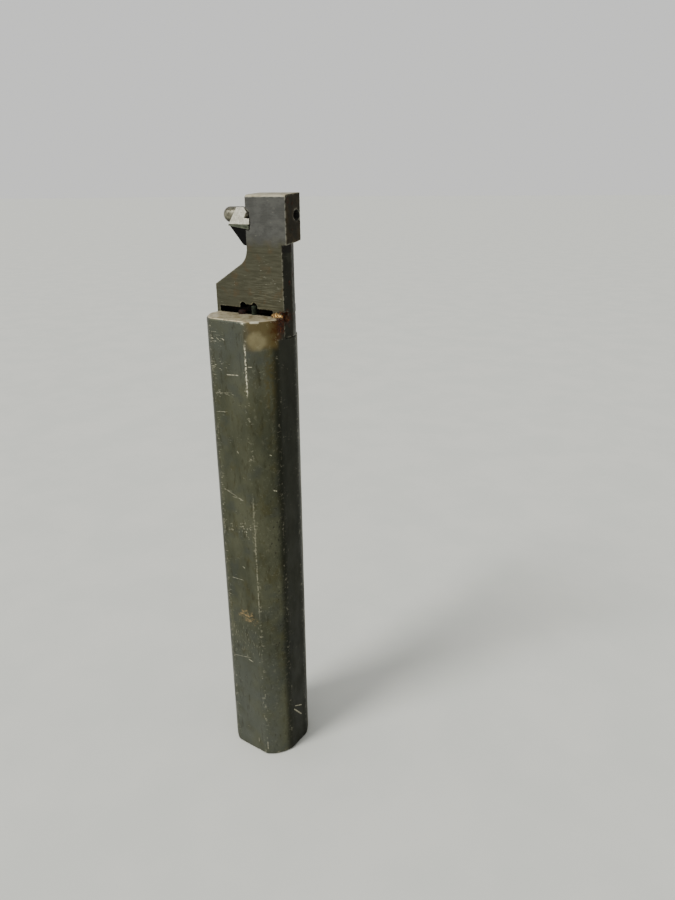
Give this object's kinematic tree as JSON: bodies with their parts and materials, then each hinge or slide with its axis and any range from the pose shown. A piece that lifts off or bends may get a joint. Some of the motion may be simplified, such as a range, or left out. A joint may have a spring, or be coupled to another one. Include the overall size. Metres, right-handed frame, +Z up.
{
  "type": "indexable boring bar",
  "caption": "Round bar with four flats, a bolted blade head at one end, and a small wedge-clamped insert on the head's side.",
  "frame": {"origin": "centre of the bar's flat lower end, on the bar's axis", "axes": "+Z up the bar towards the head, +Y out of the back flat, +X out of the right-hand flat; the insert is on the -X side"},
  "size_m": [0.0392, 0.0332, 0.2717],
  "materials": {
    "bar_steel": "dark oiled steel, mottled, with scratches and a little rust",
    "head_steel": "dark ground steel with fine horizontal grinding lines",
    "screw_steel": "black oxide worn at the edges",
    "rusty_steel": "rusted",
    "grey_steel": "dull grey-green steel",
    "braze": "rough brazed filler, stained",
    "black_seat": "black oxide, matt",
    "carbide": "ground carbide, grey-green",
    "bright_steel": "bright machined steel",
    "worn_steel": "worn steel"
  },
  "bodies": {
    "holder": {"bar": "bar_steel", "tool_head": "head_steel", "heel_screws": "screw_steel", "left_key_pin": "rusty_steel", "right_key_pin": "grey_steel", "braze_bead": "braze", "seat": "black_seat", "seat_screw": "screw_steel"},
    "clamp": {"clamp": "bright_steel"},
    "clamp_screw": {"clamp_screw": "worn_steel"},
    "insert": {"insert": "carbide"}
  },
  "joints": [
    {"name": "clamp_slide", "type": "slide", "parent": "holder", "child": "clamp", "axis": [-0.9925, -0.1219, 0], "range_m": [0, 0.0042]},
    {"name": "screw_turn", "type": "hinge", "parent": "clamp", "child": "clamp_screw", "pos_m": [0.002, 0.0042, 0.2632], "axis": [-0.9925, -0.1219, 0], "range_deg": [0, 2160]},
    {"name": "insert_slide", "type": "slide", "parent": "holder", "child": "insert", "axis": [0, -1, 0], "range_m": [0, 0.0095]}
  ],
  "couplings": [
    {"joint": "screw_turn", "follows": "clamp_slide", "rad_per_m": 8976}
  ]
}
